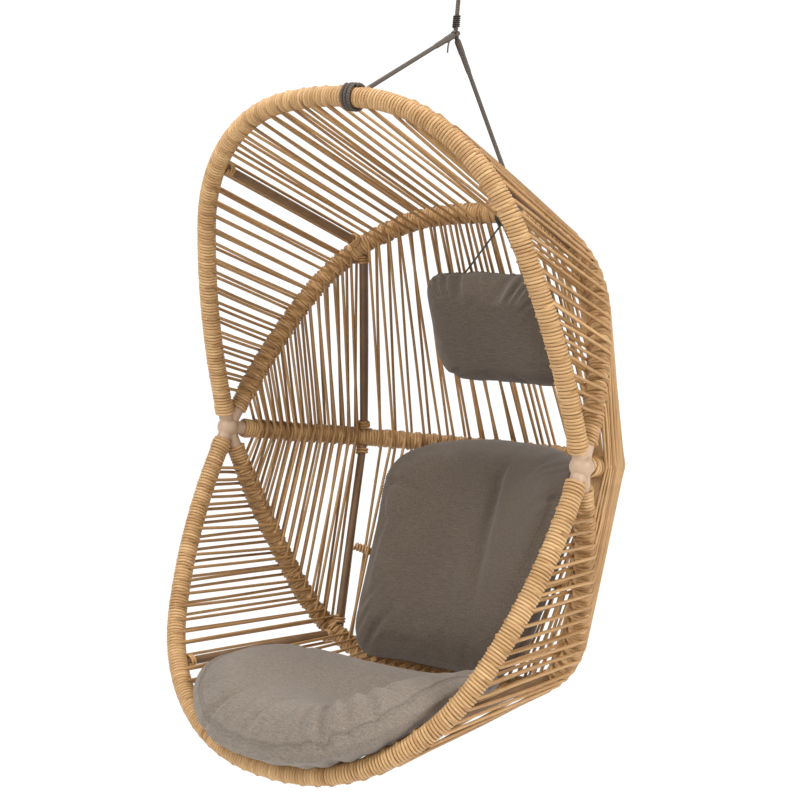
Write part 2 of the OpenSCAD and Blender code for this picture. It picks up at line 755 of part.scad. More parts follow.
module rope_thimble() {
    color("silver")
        translate([0, 0, thimble_z])
            rotate([0, 90, 0])
                rotate_extrude()
                    difference() {
                        translate([thimble_r, 0])
                            circle(d = thimble_bar);
                        translate([rope_eye_r, 0])
                            circle(d = rope_d + 2 * sleeve_gap);
                        translate([rope_eye_r, -thimble_bar])
                            square([thimble_bar, 2 * thimble_bar]);
                    }
}
module rope_eye() {
    color(rope_colour)
        translate([0, 0, thimble_z])
            rotate([0, 90, 0])
                rotate_extrude()
                    translate([rope_eye_r, 0])
                        circle(d = rope_d);
}
module eye_whipping() {
    turns = 5;
    top = thimble_z - rope_eye_r - rope_d / 2;
    color("#463f39")
        translate([0, 0, top - turns * twine_pitch / 2 - twine_d])
            rotate([0, 90, 0])
                winding(rope_d / 2 + twine_d / 2 + seat_gap, twine_d, twine_pitch, turns);
}

module in_chair() {
    translate([0, -hang_back, -hub_drop])
        children();
}

swivel_housing();
swivel_cap();
thrust_bearing();
swivel_stem();
jaw_pin();
jaw_nut();
link_ring();
rope_thimble();
rope_eye();
eye_whipping();
main_rope();
knot_whipping();
junction_knot();
rope_tail();
front_rope();
rear_rope();
splice(FRONT_ROUTE, front_splice_length);  // front_splice
splice(REAR_ROUTE, rear_splice_length);  // rear_splice
in_chair() lashing(UPPER, front_lashing_x);  // front_lashing
in_chair() lashing(CROWN, rear_lashing_x);  // rear_lashing
in_chair() hub(-1);  // left_hub
in_chair() hub(1);  // right_hub
in_chair() hoop_tube(UPPER);  // upper_mouth_tube
in_chair() hoop_tube(CROWN);  // crown_tube
in_chair() hoop_tube(WAIST);  // waist_tube
in_chair() hoop_tube(BASE);  // base_tube
in_chair() hoop_tube(LOWER);  // lower_mouth_tube
in_chair() hoop_wrap(UPPER);  // upper_mouth_wrap
in_chair() hoop_wrap(CROWN);  // crown_wrap
in_chair() hoop_wrap(WAIST);  // waist_wrap
in_chair() hoop_wrap(BASE);  // base_wrap
in_chair() hoop_wrap(LOWER);  // lower_mouth_wrap
in_chair() ribs(UPPER, CROWN);  // roof_ribs
in_chair() ribs(CROWN, WAIST);  // upper_back_ribs
in_chair() ribs(WAIST, BASE);  // lower_back_ribs
in_chair() ribs(BASE, LOWER);  // seat_ribs
in_chair() lumbar_bar();
in_chair() strands(UPPER, CROWN, 1, 0.5);  // roof_outer_strands
in_chair() strands(UPPER, CROWN, -1, 0.2);  // roof_inner_strands
in_chair() strands(CROWN, WAIST, 1, 0.5);  // upper_back_outer_strands
in_chair() strands(CROWN, WAIST, -1, 0.8);  // upper_back_inner_strands
in_chair() strands(WAIST, BASE, 1, 0.5);  // lower_back_outer_strands
in_chair() strands(WAIST, BASE, -1, 0.2);  // lower_back_inner_strands
in_chair() strands(BASE, LOWER, 1, 0.5);  // seat_outer_strands
in_chair() strands(BASE, LOWER, -1, 0.8);  // seat_inner_strands
in_chair() seat_cushion();
in_chair() back_cushion();
in_chair() head_pillow();
in_chair() pillow_cord(pillow_route(-1));  // pillow_cord_left
in_chair() pillow_cord(pillow_route(1));  // pillow_cord_right
in_chair() pillow_tie();
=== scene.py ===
"""Hanging egg chair: wound hoops, cane strands, cushions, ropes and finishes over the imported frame."""

import math

import bpy
import numpy as np
from mathutils import Matrix, Vector
from mathutils.bvhtree import BVHTree


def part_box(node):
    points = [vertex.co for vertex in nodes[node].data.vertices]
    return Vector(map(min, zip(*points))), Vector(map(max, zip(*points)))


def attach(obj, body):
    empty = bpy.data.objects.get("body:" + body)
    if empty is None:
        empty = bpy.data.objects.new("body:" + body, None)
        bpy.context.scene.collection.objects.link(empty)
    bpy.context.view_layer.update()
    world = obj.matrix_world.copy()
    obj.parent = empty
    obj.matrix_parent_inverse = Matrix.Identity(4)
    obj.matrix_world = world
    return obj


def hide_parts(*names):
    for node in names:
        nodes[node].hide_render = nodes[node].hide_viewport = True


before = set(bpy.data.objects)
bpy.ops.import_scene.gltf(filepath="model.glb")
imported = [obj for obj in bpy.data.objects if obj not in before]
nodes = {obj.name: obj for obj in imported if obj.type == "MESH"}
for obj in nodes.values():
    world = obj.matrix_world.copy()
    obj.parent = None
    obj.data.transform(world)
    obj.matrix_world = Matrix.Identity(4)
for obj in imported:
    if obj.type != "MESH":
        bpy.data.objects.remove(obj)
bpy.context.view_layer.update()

# ---- Sizes, in metres ----

CHAIR = np.array([0.0, -0.082, -1.036])  # middle between the hubs, from the ceiling eye
HUB_SPAN = 0.840
STUB = 0.045
TUBE_R = 0.012
WRAP_R = 0.018
CANE_R = 0.003
STUB_R = 0.0135
PITCH = 0.0061  # from turn to turn of the cane round a hoop
BINDING_R = 0.0027  # cane of the bindings and of the lumbar bar
RIB_SHARE = 0.4
RIB_R = 0.008
SEAT_GAP = 0.0003
ROPE_R = 0.004
TAIL_R = 0.0015
STRING_R = 0.00175
TWINE_R = 0.00155
LASHING_R = 0.00325
CORD_UP = (0.31, 0.92, 0.24)  # a direction that no cord runs along

# ---- Camera ----

camera = bpy.data.objects.new("camera", bpy.data.cameras.new("camera"))
bpy.context.scene.collection.objects.link(camera)
camera.data.sensor_width = 36
camera.data.lens = 84.63
camera.data.shift_x = 0.0057
camera.data.shift_y = 0.0110
camera.data.clip_end = 60
CAMERA_PLACE = (2.18607, -2.77433, -0.93341)
side_way = Vector((0.77306, 0.62816, 0.08828))
up_way = Vector((-0.07486, -0.04786, 0.99605))
look_way = Vector((-0.62990, 0.77661, -0.01002))
camera_turn = Matrix((side_way, up_way, -look_way)).transposed().to_4x4()
camera.matrix_world = Matrix.Translation(CAMERA_PLACE) @ camera_turn
bpy.context.scene.camera = camera

# ---- Vectors and meshes ----


def unit(v):
    return v / np.linalg.norm(v, axis=-1, keepdims=True)


def make_mesh(name, points, quads=(), caps=(), uv=None, tint=None):
    """A smooth mesh from points, an array of quads and lists of other faces. uv holds a pair for each
    corner of each quad, and tint a number for each point."""
    mesh = bpy.data.meshes.new(name)
    quads = np.asarray(quads, np.int32).reshape(-1, 4)
    sizes = [4] * len(quads) + [len(c) for c in caps]
    corners = np.concatenate([quads.ravel()] + [np.asarray(c, np.int32) for c in caps])
    mesh.vertices.add(len(points))
    mesh.vertices.foreach_set("co", np.asarray(points, np.float32).ravel())
    mesh.loops.add(len(corners))
    mesh.loops.foreach_set("vertex_index", corners)
    mesh.polygons.add(len(sizes))
    starts = np.concatenate([[0], np.cumsum(sizes)[:-1]])
    mesh.polygons.foreach_set("loop_start", starts.astype(np.int32))
    mesh.polygons.foreach_set("use_smooth", np.ones(len(sizes), bool))
    if uv is not None:
        full = np.zeros((len(corners), 2), np.float32)
        full[: len(quads) * 4] = uv
        mesh.uv_layers.new(name="along").data.foreach_set("uv", full.ravel())
    if tint is not None:
        mesh.attributes.new("tint", "FLOAT", "POINT").data.foreach_set(
            "value", np.asarray(tint, np.float32).ravel()
        )
    mesh.update(calc_edges=True)
    mesh.validate()
    piece = bpy.data.objects.new(name, mesh)
    bpy.context.scene.collection.objects.link(piece)
    return piece


def tube_grid(paths, radius, sides, up):
    """Closed round tubes along paths (tube, point, xyz). Each ring is path + radius (cos a u + sin a v)
    with u = way x up and v = u x way; the ends are capped. Returns points, quads, caps and uv."""
    tubes, rings, _ = paths.shape
    way = unit(np.gradient(paths, axis=1))
    u = unit(np.cross(way, np.broadcast_to(up, paths.shape)))
    v = np.cross(u, way)
    radius = np.broadcast_to(radius, (tubes, rings))
    a = np.linspace(0, 2 * np.pi, sides, endpoint=False)
    points = paths[:, :, None] + radius[..., None, None] * (
        np.cos(a)[:, None] * u[:, :, None] + np.sin(a)[:, None] * v[:, :, None]
    )
    t, i, k = np.meshgrid(np.arange(tubes), np.arange(rings - 1), np.arange(sides), indexing="ij")
    base = (t * rings + i) * sides
    turned = (k + 1) % sides
    quads = np.stack([base + k, base + sides + k, base + sides + turned, base + turned], -1)
    lengths = np.linalg.norm(np.diff(paths, axis=1), axis=-1)
    run = np.concatenate([np.zeros((tubes, 1)), np.cumsum(lengths, 1)], 1)
    low, high = run[t, i], run[t, i + 1]
    uv = np.stack(
        [np.stack([low, high, high, low], -1), np.stack([k, k, k + 1, k + 1], -1) / sides], -1
    )
    first = np.arange(tubes)[:, None] * rings * sides + np.arange(sides)
    last = first + (rings - 1) * sides
    caps = [list(f) for f in first] + [list(f[::-1]) for f in last]
    return points.reshape(-1, 3), quads.reshape(-1, 4), caps, uv.reshape(-1, 2)


def tubes(name, paths, radius, sides, up, tint=None):
    """One piece made of tubes, with a tint for each of them."""
    paths = np.asarray(paths, float)
    paths = paths[None] if paths.ndim == 2 else paths
    points, quads, caps, uv = tube_grid(paths, radius, sides, up)
    if tint is not None:
        tint = np.repeat(tint, paths.shape[1] * sides)
    return make_mesh(name, points, quads, caps, uv, tint)


def smooth_route(corners, count):
    """Points evenly spread by index along a Catmull-Rom curve through the corners."""
    c = np.asarray(corners, float)
    c = np.concatenate([[2 * c[0] - c[1]], c, [2 * c[-1] - c[-2]]])
    at = np.linspace(0, len(c) - 3 - 1e-9, count)
    i = at.astype(int)
    t = (at - i)[:, None]
    p0, p1, p2, p3 = c[i], c[i + 1], c[i + 2], c[i + 3]
    square = (2 * p0 - 5 * p1 + 4 * p2 - p3) * t**2
    cube = (3 * p1 - p0 - 3 * p2 + p3) * t**3
    return 0.5 * (2 * p1 + (p2 - p0) * t + square + cube)


# ---- Shader maths ----


class Value:
    """A socket that takes part in arithmetic: each operation adds one Math node."""

    def __init__(self, finish, socket):
        self.finish = finish
        self.socket = socket

    def math(self, operation, *others):
        return self.finish.node("ShaderNodeMath", {"operation": operation}, *others)

    def __add__(self, other):
        return self.math("ADD", self, other)

    def __sub__(self, other):
        return self.math("SUBTRACT", self, other)

    def __rsub__(self, other):
        return self.math("SUBTRACT", other, self)

    def __mul__(self, other):
        return self.math("MULTIPLY", self, other)

    def sine(self):
        return self.math("SINE", self)

    def clamp(self):
        return self.finish.node("ShaderNodeClamp", {}, self)

    __radd__ = __add__
    __rmul__ = __mul__


# The inputs of a Mix node that lie between its share and its two colours
UNUSED_MIX_INPUTS = [None] * 5


class Finish:
    """A material built from a principled shader and the nodes that feed it."""

    def __init__(self, name, **plain):
        self.material = bpy.data.materials.new(name)
        self.material.use_nodes = True
        self.tree = self.material.node_tree
        self.shader = self.tree.nodes["Principled BSDF"]
        for key, value in plain.items():
            self.shader.inputs[key.replace("_", " ")].default_value = value
        self.material.diffuse_color = self.shader.inputs["Base Color"].default_value

    def node(self, kind, settings, *inputs, out=0, **named):
        """One node: its settings first, then its inputs by place or by name, each a value or a link."""
        made = self.tree.nodes.new(kind)
        for key, value in settings.items():
            setattr(made, key, value)
        slots = [(made.inputs[i], v) for i, v in enumerate(inputs)]
        slots += [(made.inputs[k.replace("_", " ")], v) for k, v in named.items()]
        for slot, value in slots:
            if isinstance(value, Value):
                self.tree.links.new(value.socket, slot)
            elif value is not None:
                slot.default_value = value
        return Value(self, made.outputs[out])

    def place(self, scale=(1, 1, 1)):
        """Object coordinates, stretched by a scale along each axis."""
        spot = self.node("ShaderNodeTexCoord", {}, out="Object")
        return self.node("ShaderNodeMapping", {}, Vector=spot, Scale=scale)

    def along(self, scale=(1, 1, 1)):
        """The piece's own map: metres along it, and the share of the way round it."""
        spot = self.node("ShaderNodeUVMap", {"uv_map": "along"})
        return self.node("ShaderNodeMapping", {}, Vector=spot, Scale=scale)

    def noise(self, spot, scale, detail=3.0, rough=0.55):
        return self.node(
            "ShaderNodeTexNoise", {}, Vector=spot, Scale=scale, Detail=detail, Roughness=rough
        )

    def tint(self):
        return self.node("ShaderNodeAttribute", {"attribute_name": "tint"}, out="Fac")

    def mix(self, share, low, high):
        """A colour between two, by a share."""
        kind = {"data_type": "RGBA"}
        return self.node("ShaderNodeMix", kind, share, *UNUSED_MIX_INPUTS, low, high, out=2)

    def feed(self, name, value):
        self.tree.links.new(value.socket, self.shader.inputs[name])

    def bump(self, height, distance, strength=1.0):
        made = self.node("ShaderNodeBump", {}, Height=height, Distance=distance, Strength=strength)
        self.feed("Normal", made)


def tone(code):
    """A linear colour from its sRGB hex code."""
    parts = [int(code[i : i + 2], 16) / 255 for i in (1, 3, 5)]
    return (*[p / 12.92 if p <= 0.04045 else ((p + 0.055) / 1.055) ** 2.4 for p in parts], 1.0)


def cane_finish(name, dark, light, streak):
    """Round cane: fine streaks along it, a tone for each strand, and a slight blotchiness."""
    f = Finish(name, Base_Color=tone(light), Roughness=0.46, Specular_IOR_Level=0.42)
    fine = f.noise(f.along((18, 5, 1)), 3.0, 4.0, 0.6)
    cloud = f.noise(f.place(), 9.0, 2.0)
    share = (0.5 + (fine - 0.5) * streak + (cloud - 0.5) * 0.7 + f.tint() * 0.34).clamp()
    f.feed("Base Color", f.mix(share, tone(dark), tone(light)))
    f.feed("Roughness", 0.40 + fine * 0.16)
    f.bump(f.noise(f.along((30, 9, 1)), 4.0, 3.0), 0.0004, 0.35)
    return f.material


def painted_finish(name, low, high):
    """Powder-coated tube: a fine orange peel, and rubbed and dusty places."""
    f = Finish(name, Base_Color=tone(high), Roughness=0.5, Specular_IOR_Level=0.45)
    cloud = f.noise(f.place(), 14.0, 4.0)
    grain = f.noise(f.place(), 900.0, 2.0)
    f.feed("Base Color", f.mix((cloud * 1.5 - 0.25 + (grain - 0.5) * 0.3).clamp(), tone(low), tone(high)))
    f.feed("Roughness", 0.42 + cloud * 0.18)
    f.bump(grain, 0.0003, 0.3)
    return f.material


def metal_finish(name, low, high, rough):
    """Bright metal with fine lathe lines and soft smudges."""
    f = Finish(name, Base_Color=tone(high), Metallic=1.0, Roughness=rough)
    lines = f.noise(f.place((30, 30, 1400)), 1.0, 2.0)
    smudge = f.noise(f.place(), 60.0, 3.0)
    f.feed("Base Color", f.mix((smudge * 0.8 + lines * 0.3 - 0.1).clamp(), tone(low), tone(high)))
    f.feed("Roughness", rough - 0.06 + smudge * 0.14)
    f.bump(lines, 0.0001, 0.4)
    return f.material


def cloth_finish(name, dark, light, across):
    """Heathered outdoor cloth: threads along the piece's width, slubs, and a plain weave in the bump."""
    f = Finish(
        name,
        Base_Color=tone(light),
        Roughness=0.92,
        Specular_IOR_Level=0.2,
        Sheen_Weight=0.18,
        Sheen_Roughness=0.6,
    )
    threads = f.noise(f.place(across), 1.0, 3.0, 0.7)
    slubs = f.noise(f.place(), 420.0, 3.0, 0.7)
    cloud = f.noise(f.place(), 7.0, 2.0)
    share = (0.5 + (threads - 0.5) * 1.1 + (slubs - 0.5) * 1.3 + (cloud - 0.5) * 0.25).clamp()
    f.feed("Base Color", f.mix(share, tone(dark), tone(light)))
    f.bump(slubs * 0.6 + threads * 0.4, 0.0007, 0.55)
    return f.material


def rope_finish(name, dark, light, pitch):
    """Braided cord: two sets of slanting strands that cross, with painted shade in their furrows."""
    f = Finish(name, Base_Color=tone(light), Roughness=0.88, Specular_IOR_Level=0.25)
    axes = f.node("ShaderNodeSeparateXYZ", {}, f.along()).socket.node.outputs
    run = Value(f, axes["X"]) * (2 * math.pi / pitch)
    turn = Value(f, axes["Y"]) * (2 * math.pi * 3)
    braid = (run + turn).sine() * (run - turn).sine()
    hairs = f.noise(f.along((300, 14, 1)), 3.0, 3.0, 0.7)
    # The braid term darkens the furrows between the strands: painted shade.
    share = (0.45 + braid * 0.34 + (hairs - 0.5) + f.tint() * 0.2).clamp()
    f.feed("Base Color", f.mix(share, tone(dark), tone(light)))
    f.bump(braid * 0.6 + hairs * 0.5, 0.0011, 0.8)
    return f.material


wrap_cane = cane_finish("wound_cane", "#9c7040", "#ddb885", 0.9)
strand_cane = cane_finish("strand_cane", "#8e6538", "#cfa673", 0.9)
# A darker copy of the strand cane for the inner strands: painted shade for the inside of the shell.
painted_shade_inner_cane = cane_finish("painted_shade_inner_cane", "#7d5831", "#bf9663", 0.9)
frame_paint = painted_finish("taupe_paint", "#7c6753", "#9a826a")
# A lighter tan than the tubes for the hubs: partly their own paint, partly painted light for the lit hubs.
hub_paint_and_painted_light = painted_finish("hub_paint_and_painted_light", "#a98d72", "#cdb196")
# A darker, warmer brown than the tubes for the ribs: partly their own paint, partly painted shade for the
# ribs inside the shell.
rib_paint_and_painted_shade = painted_finish("rib_paint_and_painted_shade", "#5f472f", "#8a6a4a")
steel = metal_finish("brushed_steel", "#9b9c9e", "#c9cacc", 0.3)
bronze = metal_finish("bearing_bronze", "#8a6a35", "#c09a55", 0.35)
seat_cloth = cloth_finish("seat_cloth", "#5b5047", "#94887b", (60, 420, 420))
back_cloth = cloth_finish("back_cloth", "#41372e", "#6d6053", (40, 600, 600))
rope_cord = rope_finish("braided_rope", "#3b3530", "#7a7065", 0.009)
twine = rope_finish("dark_twine", "#2f2a26", "#5d554d", 0.004)
pillow_string = rope_finish("pillow_string", "#3d4039", "#686b62", 0.005)


def dress(piece, material, body, slot, *replaced):
    """Gives a new piece its finish and the body it rides on, and hides the nodes that it stands for; the
    slot is not used.
    """
    piece.data.materials.clear()
    piece.data.materials.append(material)
    if replaced:
        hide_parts(*replaced)
    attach(piece, body)
    return piece


# ---- Ropes and cords ----


def rope_route(start, end, count=24):
    """Points along a straight line, from two ends in millimetres."""
    start, end = np.array(start) / 1000, np.array(end) / 1000
    return start + np.linspace(0, 1, count)[:, None] * (end - start)


def chair_mm(point):
    """A point of the chair, measured from the middle between the hubs, in the shared frame."""
    return np.array(point) + CHAIR * 1000


def rope_piece(name, path, radius, sides, replaced):
    return dress(tubes(name, path, radius, sides, CORD_UP), rope_cord, "chair", "rope", replaced)


def string_piece(name, path, replaced):
    piece = tubes(name, path, STRING_R, 10, CORD_UP)
    return dress(piece, pillow_string, "head_pad", "pillow_cord", replaced)


TAIL_ROUTE = [(-3, -5, -265), (-5, -9, -273), (-6, -11, -283), (-6, -11, -296)]
main_path = rope_route((0, 0, -138), (0, 0, -254), 30)
front_path = rope_route((1, -5, -262), (57, -321, -429), 60)
rear_path = rope_route((1, 2, -265), (98, 110, -568), 60)
tail_path = smooth_route(np.array(TAIL_ROUTE) / 1000, 16)
left_path = rope_route(chair_mm((57, 200, 432)), chair_mm((-12.6, 190.9, 335.9)))
right_path = rope_route(chair_mm((63, 200, 432)), chair_mm((132.6, 190.9, 335.9)))

main_rope = rope_piece("main_rope_braid", main_path, ROPE_R, 14, "main_rope")
front_rope = rope_piece("front_rope_braid", front_path, ROPE_R, 14, "front_rope")
rear_rope = rope_piece("rear_rope_braid", rear_path, ROPE_R, 14, "rear_rope")
rope_tail = rope_piece("rope_tail_end", tail_path, TAIL_R, 10, "rope_tail")
left_string = string_piece("pillow_string_left", left_path, "pillow_cord_left")
right_string = string_piece("pillow_string_right", right_path, "pillow_cord_right")

JUNCTION = np.array([0, 0, -0.260])
KNOT_CORD_R = 0.0030
KNOT_REACH = 0.0045
KNOT_SWELL = 0.0022
KNOT_RISE = 0.0042


def knot_loops():
    """A closed trefoil of cord at the junction."""
    turn = np.linspace(0, 2 * np.pi, 91)
    reach = KNOT_REACH + KNOT_SWELL * np.cos(3 * turn)
    ring = [reach * np.cos(2 * turn), reach * np.sin(2 * turn), KNOT_RISE * np.sin(3 * turn)]
    path = JUNCTION + np.stack(ring, -1)
    piece = tubes("junction_knot_loops", path, KNOT_CORD_R, 10, (0.2, 0.3, 0.93))
    return dress(piece, rope_cord, "chair", "rope", "junction_knot")


knot = knot_loops()

# Along a sleeve: the share of its length, and the radius there
SLEEVE_SHARES = [0, 0.05, 0.40, 0.44, 0.9, 1]
SLEEVE_RADII = [0.0045, 0.0062, 0.0060, 0.0053, 0.0050, 0.0041]
SLEEVE_START = 0.00475


def sleeve(name, path, length, replaced):
    """The rope's own end laid back along a leg: a sleeve whose radius steps down twice and tapers."""
    way = unit(path[-1] - path[0])
    start = path[0] + SLEEVE_START * way
    share = np.linspace(0, 1, 60)
    radius = np.interp(share, SLEEVE_SHARES, SLEEVE_RADII)
    return rope_piece(name, start + share[:, None] * length * way, radius[None], 16, replaced)


front_sleeve = sleeve("front_splice_braid", front_path, 0.075, "front_splice")
rear_sleeve = sleeve("rear_splice_braid", rear_path, 0.068, "rear_splice")


def ring_coil(centre, axis, side, reach, pitch, turns, steps=28):
    """A winding of cord: centre + pitch a / 2 pi along the axis + reach (cos a side + sin a third)."""
    axis, side = unit(np.array(axis, float)), unit(np.array(side, float))
    third = np.cross(axis, side)
    a = np.linspace(0, 2 * np.pi * turns, int(turns * steps) + 1)[:, None]
    rise = pitch * (a / (2 * np.pi) - turns / 2) * axis
    return centre + rise + reach * (np.cos(a) * side + np.sin(a) * third)


WHIPPING_REACH = 0.0058
WHIPPING_PITCH = 0.0038


def whipping(name, height, turns, replaced):
    """Turns of twine round the rope, at a height."""
    centre = np.array([0, 0, height])
    path = ring_coil(centre, (0, 0, -1), (0, 1, 0), WHIPPING_REACH, WHIPPING_PITCH, turns)
    return dress(tubes(name, path, TWINE_R, 8, (0, 0, 1)), twine, "chair", "dark_twine", replaced)


eye_low, eye_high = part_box("eye_whipping")
knot_whipping = whipping("knot_whipping_twine", -0.2361, 6, "knot_whipping")
whipping("eye_whipping_twine", (eye_low[2] + eye_high[2]) / 2, 5, "eye_whipping")

# ---- Hoops and panels ----


class Hoop:
    """Straight stub, side arc, shoulder arc and top arc, each tangent to the next, in a plane that is
    turned about the line through the hubs."""

    def __init__(self, turn, reach, lean, shoulder, top, half, rib):
        self.turn, self.lean, self.half = (math.radians(v) for v in (turn, lean, half))
        self.shoulder, self.top, self.rib = shoulder / 1000, top / 1000, rib / 1000
        foot = np.array([HUB_SPAN / 2 + STUB * math.sin(self.lean), STUB * math.cos(self.lean)])
        inward = np.array([-math.cos(self.lean), math.sin(self.lean)])
        self.top_centre = np.array([0.0, reach / 1000 - self.top])
        self.shoulder_centre = self.round(self.top_centre, self.top - self.shoulder, self.half)
        w = self.shoulder_centre - foot
        self.side = (w @ w - self.shoulder**2) / (2 * (w @ inward - self.shoulder))
        self.side_centre = foot + self.side * inward
        d = self.shoulder_centre - self.side_centre
        self.side_angle = math.atan2(d[0], d[1])
        self.top_length = self.top * self.half
        self.shoulder_length = self.shoulder * (self.side_angle - self.half)
        self.half_length = (
            self.top_length + self.shoulder_length + self.side * (math.pi / 2 + self.lean - self.side_angle)
        )
        self.normal = np.array([0.0, math.cos(self.turn), math.sin(self.turn)])

    def round(self, centre, r, angle):
        """Point on a circle, at an angle from the apex."""
        return centre + r * np.stack([np.sin(angle), np.cos(angle)], -1)

    def along(self, s):
        """Point at a signed length s from the apex."""
        s = np.asarray(s, float)
        a = np.abs(s)
        past = a - self.top_length
        far = past - self.shoulder_length
        flat = np.where(
            (past < 0)[..., None],
            self.round(self.top_centre, self.top, a / self.top),
            np.where(
                (far < 0)[..., None],
                self.round(self.shoulder_centre, self.shoulder, self.half + past / self.shoulder),
                self.round(self.side_centre, self.side, self.side_angle + far / self.side),
            ),
        )
        x, y = flat[..., 0] * np.sign(s + 1e-15), flat[..., 1]
        return CHAIR + np.stack([x, -math.sin(self.turn) * y, math.cos(self.turn) * y], -1)

    def way(self, s):
        return unit(self.along(s + 5e-4) - self.along(s - 5e-4))

    def length_at(self, q):
        """Signed length from the apex for a share q of the half length; ribs stand at one share."""
        a = np.abs(q)
        return np.sign(q) * np.where(
            a < RIB_SHARE,
            self.rib * a / RIB_SHARE,
            self.rib + (self.half_length - self.rib) * (a - RIB_SHARE) / (1 - RIB_SHARE),
        )

    def at(self, q):
        return self.along(self.length_at(np.asarray(q, float)))

    def way_at(self, q):
        return self.way(self.length_at(np.asarray(q, float)))


UPPER = Hoop(23.5, 653, -1.1, 319, 688, 8.4, 332)
CROWN = Hoop(-24, 499, -6.7, 319, 613, 10.5, 274)
WAIST = Hoop(-90, 481, -14.2, 305, 322, 20, 381)
BASE = Hoop(-152.5, 498, -7.7, 222, 3400, 2.3, 275)
LOWER = Hoop(157, 626, 0.5, 357, 589, 6.7, 358)

dice = np.random.default_rng(7)
SHADE_SPREAD = 0.33  # of the tint from turn to turn
TURN_SLIP = 0.00022  # of a turn along the hoop
TURN_RISE = 0.0001  # of a turn off the hoop
STUB_TAPER = 0.009  # length over which the tube's thickness grows to the stub's


def wound_hoop(name, hoop, start, replaced):
    """Cane wound round a hoop's tube and its stubs, from a distance from the hub's centre:
    along(s) + reach (cos a out + sin a normal), where s goes on by a pitch a turn. Turns differ a
    little in height, and both ends tuck in."""
    end = hoop.half_length + STUB - start
    turns = round(2 * end / PITCH)
    steps = 20
    a = np.linspace(0, 2 * np.pi * turns, turns * steps + 1)
    count = a / (2 * np.pi)
    wobble = np.interp(count, np.arange(turns + 1), dice.normal(0, 1, turns + 1))
    s = -end + 2 * end * count / turns + TURN_SLIP * wobble
    way = hoop.way(s)
    out = unit(np.cross(way, hoop.normal))
    facing = np.sign(np.sum(out[len(out) // 2] * (hoop.along(0.0) - CHAIR)))
    out = out * facing
    tuck = np.clip(np.minimum(count, turns - count) * 2, 0, 1)
    growing = [hoop.half_length - STUB_TAPER, hoop.half_length]
    over_stub = np.interp(np.abs(s), growing, [0, STUB_R - TUBE_R])
    reach = TUBE_R + over_stub + CANE_R * tuck + TURN_RISE * np.abs(wobble)
    around = np.cos(a)[:, None] * out + np.sin(a)[:, None] * hoop.normal
    path = hoop.along(s) + reach[:, None] * around
    shade = np.repeat(dice.normal(0, SHADE_SPREAD, turns + 1), steps)[: len(a)]
    points, quads, caps, uv = tube_grid(path[None], CANE_R, 8, around[None])
    piece = make_mesh(name, points, quads, caps, uv, np.repeat(shade, 8))
    return dress(piece, wrap_cane, "chair", "wicker_wrap", replaced)


wound_hoop("upper_mouth_winding", UPPER, 0.028, "upper_mouth_wrap")
wound_hoop("crown_winding", CROWN, 0.041, "crown_wrap")
wound_hoop("waist_winding", WAIST, 0.033, "waist_wrap")
wound_hoop("base_winding", BASE, 0.041, "base_wrap")
wound_hoop("lower_mouth_winding", LOWER, 0.028, "lower_mouth_wrap")

STRANDS = 56
STRAND_END = 0.955  # share of a hoop's half length where the last strand may stand
RIB_ROOM = 0.024  # share left free on each side of a rib
STRAND_OFF = WRAP_R + 0.0008  # reach of a taut strand
CURL_OFF = WRAP_R - 0.0008  # reach of its curl round the hoop
TUCK_OFF = WRAP_R - 0.0035  # reach of the curl's end
MOUTH_OFF = WRAP_R - 0.0004  # reach on a mouth hoop, and where the strand sinks in
MOUTH_SINK = 0.0012
MOUTH_END = TUBE_R + 0.0005
TINT_SPREAD = 0.4  # of the tint from strand to strand
STEP_SPREAD = 0.07  # of a strand's place, in steps
BOW_SPREAD = 0.0009


def curl(hoop, q, out, onward, mouth, lean):
    """The end of a strand round a hoop: at + reach (cos f out + sin f onward) + drift along the hoop.
    On a mouth hoop it sinks among the turns; elsewhere it goes round and tucks under."""
    f = np.linspace(0, math.radians(80 if mouth else 265), 6 if mouth else 17)
    share = f / f[-1]
    if mouth:
        reach = np.interp(share, [0, 0.5, 1], [MOUTH_OFF, MOUTH_OFF - MOUTH_SINK, MOUTH_END])
    else:
        reach = np.interp(share, [0, 0.25, 0.85, 1], [STRAND_OFF, CURL_OFF, CURL_OFF, TUCK_OFF])
    drift = lean * share * (0.25 if mouth else 1.5)
    f, reach, drift = f[None, :, None], reach[None, :, None], drift[None, :, None]
    around = np.cos(f) * out[:, None] + np.sin(f) * onward[:, None]
    return hoop.at(q)[:, None] + reach * around + drift * PITCH * hoop.way_at(q)[:, None]


